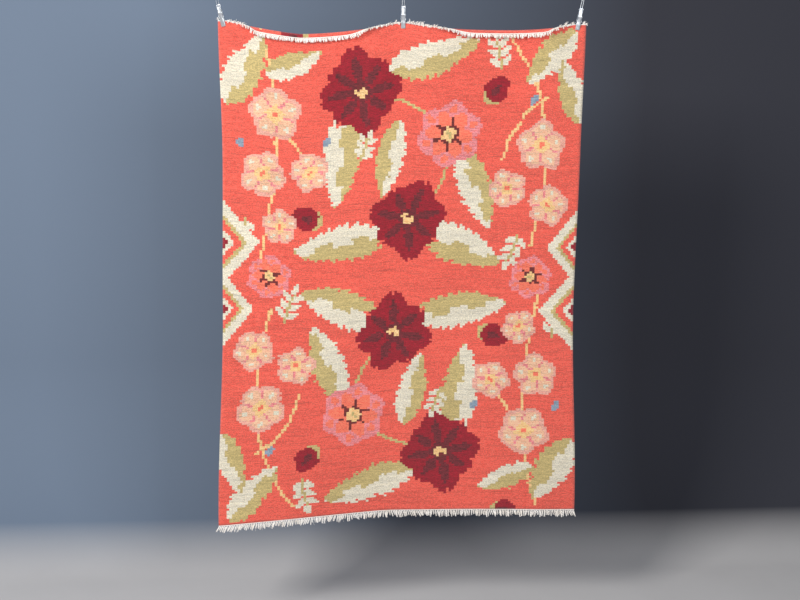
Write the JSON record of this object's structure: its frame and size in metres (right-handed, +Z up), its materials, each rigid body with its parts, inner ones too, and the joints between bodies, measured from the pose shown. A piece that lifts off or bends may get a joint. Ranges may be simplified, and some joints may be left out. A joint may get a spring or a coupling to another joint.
{
  "type": "flat-woven wool kilim rug hung from three steel spring clips",
  "caption": "Rectangular weft-faced kilim rug with cotton fringes at both ends, hanging by its sagging, forward-rolled top edge from spring clips with wire bails",
  "frame": {"origin": "inside top of the centre clip's wire bail, the point a hook carries the hung rug by", "axes": "+Z up along the hung rug, +X across it to the viewer's right, -Y the way the front of the rug faces"},
  "size_m": [1.7553, 0.1088, 2.5323],
  "materials": {
    "wool_field": "matte weft-faced wool, coral ground with stepped flowers in burgundy, rose, peach, cream and olive",
    "cotton_fringe": "matte undyed twisted cotton",
    "clip_steel": "polished"
  },
  "bodies": {
    "root": {"woven_field": "wool_field", "top_fringe": "cotton_fringe", "bottom_fringe": "cotton_fringe", "left_clip_back_arm": "clip_steel", "left_clip_front_jaw": "clip_steel", "left_clip_hinge_pin": "clip_steel", "left_clip_bail_pin": "clip_steel", "left_clip_bail": "clip_steel", "centre_clip_back_arm": "clip_steel", "centre_clip_front_jaw": "clip_steel", "centre_clip_hinge_pin": "clip_steel", "centre_clip_bail_pin": "clip_steel", "centre_clip_bail": "clip_steel", "right_clip_back_arm": "clip_steel", "right_clip_front_jaw": "clip_steel", "right_clip_hinge_pin": "clip_steel", "right_clip_bail_pin": "clip_steel", "right_clip_bail": "clip_steel"}
  },
  "joints": []
}
